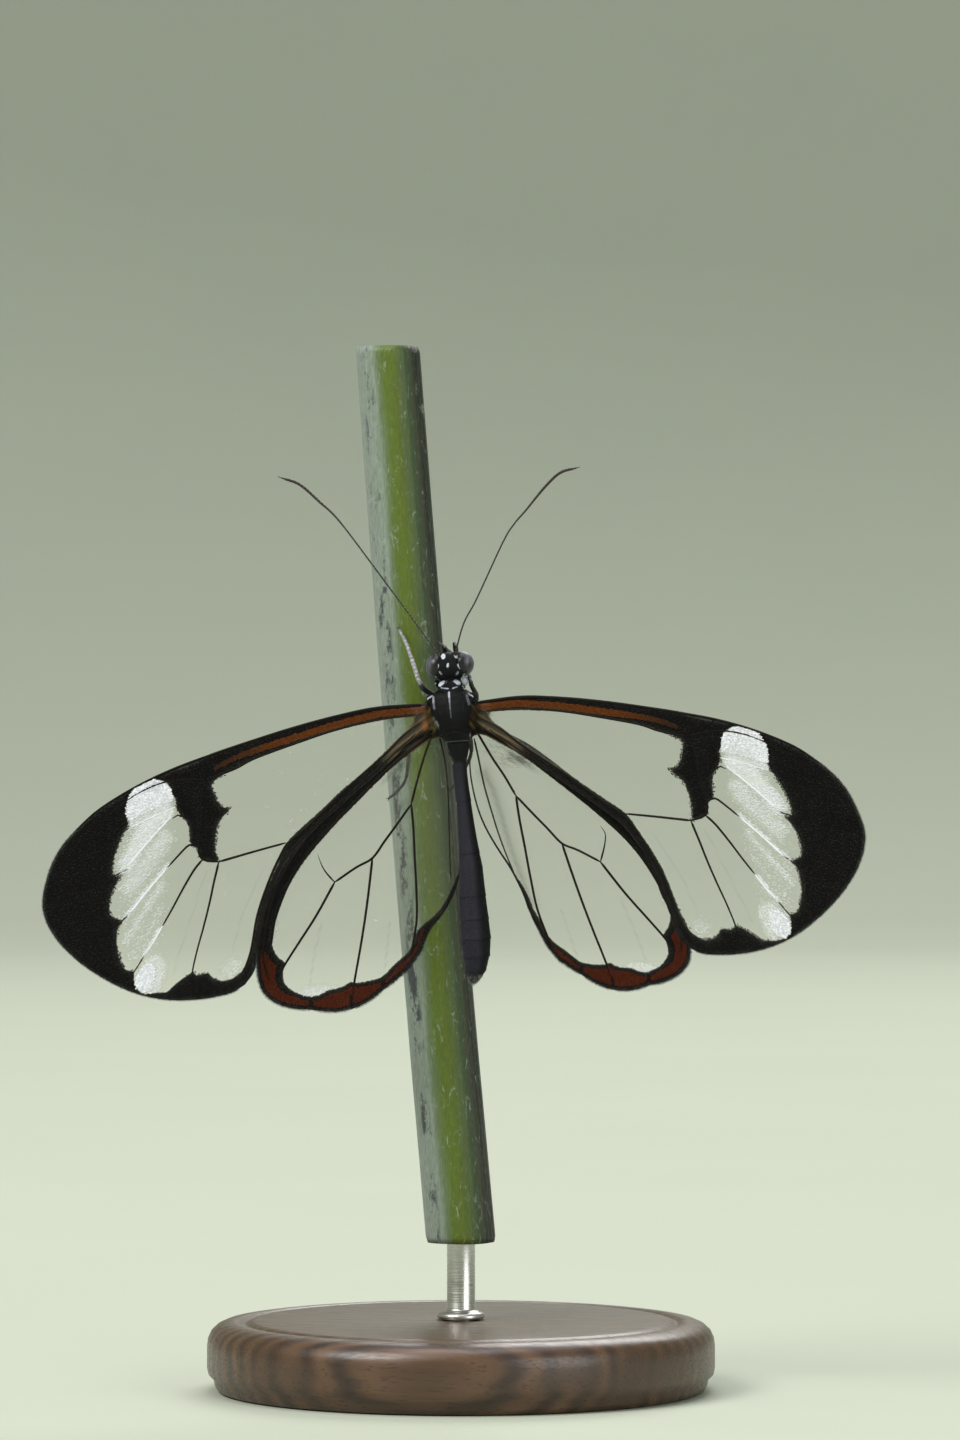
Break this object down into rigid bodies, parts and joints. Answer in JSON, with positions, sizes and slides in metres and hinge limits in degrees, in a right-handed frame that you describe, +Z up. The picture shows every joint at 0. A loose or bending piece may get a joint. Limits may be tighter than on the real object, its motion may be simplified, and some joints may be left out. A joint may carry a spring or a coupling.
{
  "type": "glasswing butterfly model",
  "caption": "Life-size glasswing butterfly, wings spread, gripping a short cut length of plant stem held upright by a small round stand.",
  "frame": {"origin": "centre of the round base's underside, on the floor", "axes": "+Z up, along the rod; -Y is the side the butterfly's back faces, where the camera of the picture stands; +X is to the right in the picture"},
  "size_m": [0.0579, 0.036, 0.074],
  "materials": {
    "stand_wood": "dark stained wood, satin",
    "stand_metal": "brushed metal",
    "stem": "waxy green plant stem with a grey bloom",
    "body_black": "near-black scales with pale bluish lines",
    "abdomen_slate": "slate blue-grey scales",
    "head_black": "black with small white spots",
    "eye": "glossy dark compound eye with a grey-violet sheen",
    "palp": "black with white lines",
    "tongue": "dark brown",
    "antenna": "dark brown to black",
    "leg": "dark with pale grey scales",
    "forewing": "clear membrane with black tip and margins, white band and rust-brown front edge",
    "hindwing": "clear membrane with black and rust-red border and black veins"
  },
  "bodies": {
    "root": {"stand_base": "stand_wood", "stand_rod": "stand_metal", "perch": "stem", "thorax": "body_black", "abdomen": "abdomen_slate", "head": "head_black", "eye_left": "eye", "eye_right": "eye", "palp_left": "palp", "palp_right": "palp", "proboscis": "tongue", "antenna_left": "antenna", "antenna_right": "antenna", "foreleg_left": "leg", "foreleg_right": "leg", "midleg_left": "leg", "midleg_right": "leg", "hindleg_left": "leg", "hindleg_right": "leg", "forewing_left": "forewing", "forewing_right": "forewing", "hindwing_left": "hindwing", "hindwing_right": "hindwing"}
  },
  "joints": []
}
